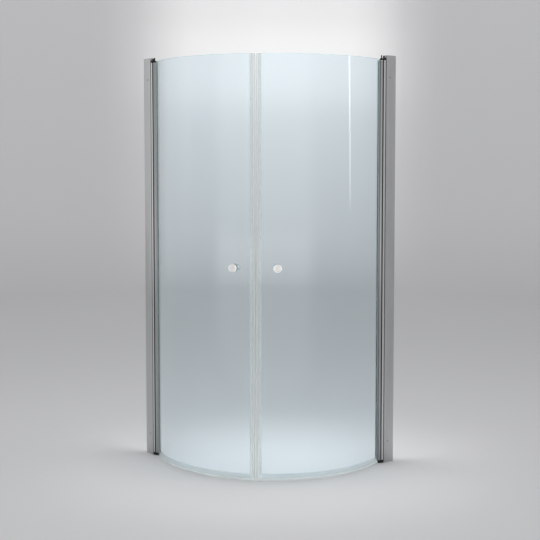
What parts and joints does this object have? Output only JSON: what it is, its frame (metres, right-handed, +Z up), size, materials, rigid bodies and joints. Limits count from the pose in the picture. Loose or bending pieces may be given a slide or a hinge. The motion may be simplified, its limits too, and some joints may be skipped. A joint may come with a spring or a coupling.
{
  "type": "quadrant shower enclosure",
  "caption": "Quarter-round corner shower enclosure with two curved glass swing doors hinged on wall profiles, magnetic closing seals and turned knobs.",
  "frame": {"origin": "on the floor, at the middle of the square that the plan fills", "axes": "+Z up; the left wall is the plane of lowest x and the right wall the plane of highest y, so the doors' seam faces +x and -y"},
  "size_m": [0.9292, 0.9292, 2],
  "materials": {
    "profile_aluminium": "satin anodised",
    "grey_plastic": "satin",
    "black_seal": "matte",
    "black_plastic": "satin",
    "black_screw": "blackened",
    "screw_steel": "plain",
    "nylon": "translucent white",
    "gasket": "grey-green, soft",
    "safety_glass": "clear, polished edges",
    "clear_seal": "clear, slightly green",
    "magnet_rubber": "off-white",
    "polished_metal": "polished",
    "knob_face": "satin, slightly warm"
  },
  "bodies": {
    "enclosure_frame": {"left_wall_channel": "profile_aluminium", "left_channel_caps": "grey_plastic", "left_frame_profile": "profile_aluminium", "left_channel_seal": "black_seal", "left_locking_screws": "screw_steel", "left_hinge_seal": "black_seal", "left_hinge_bracket_top": "black_plastic", "left_hinge_bracket_bottom": "black_plastic", "left_bracket_screws": "black_screw", "left_hinge_pins": "screw_steel", "right_wall_channel": "profile_aluminium", "right_channel_caps": "grey_plastic", "right_frame_profile": "profile_aluminium", "right_channel_seal": "black_seal", "right_locking_screws": "screw_steel", "right_hinge_seal": "black_seal", "right_hinge_bracket_top": "black_plastic", "right_hinge_bracket_bottom": "black_plastic", "right_bracket_screws": "black_screw", "right_hinge_pins": "screw_steel"},
    "left_door": {"left_door_profile": "profile_aluminium", "left_hinge_bushes": "nylon", "left_glazing_gasket": "gasket", "left_door_glass": "safety_glass", "left_magnet_profile": "clear_seal", "left_magnet_strip": "magnet_rubber", "left_bottom_seal": "clear_seal", "left_knob_outer": "polished_metal", "left_knob_inner": "polished_metal", "left_knob_caps": "knob_face", "left_knob_washers": "nylon", "left_knob_stud": "screw_steel"},
    "right_door": {"right_door_profile": "profile_aluminium", "right_hinge_bushes": "nylon", "right_glazing_gasket": "gasket", "right_door_glass": "safety_glass", "right_magnet_profile": "clear_seal", "right_magnet_strip": "magnet_rubber", "right_bottom_seal": "clear_seal", "right_knob_outer": "polished_metal", "right_knob_inner": "polished_metal", "right_knob_caps": "knob_face", "right_knob_washers": "nylon", "right_knob_stud": "screw_steel"}
  },
  "joints": [
    {"name": "left_door_hinge", "type": "hinge", "parent": "enclosure_frame", "child": "left_door", "pos_m": [-0.38063, -0.41137, 1], "axis": [0, 0, -1], "range_deg": [-80, 90]},
    {"name": "right_door_hinge", "type": "hinge", "parent": "enclosure_frame", "child": "right_door", "pos_m": [0.41137, 0.38063, 1], "axis": [0, 0, 1], "range_deg": [-80, 90]}
  ]
}
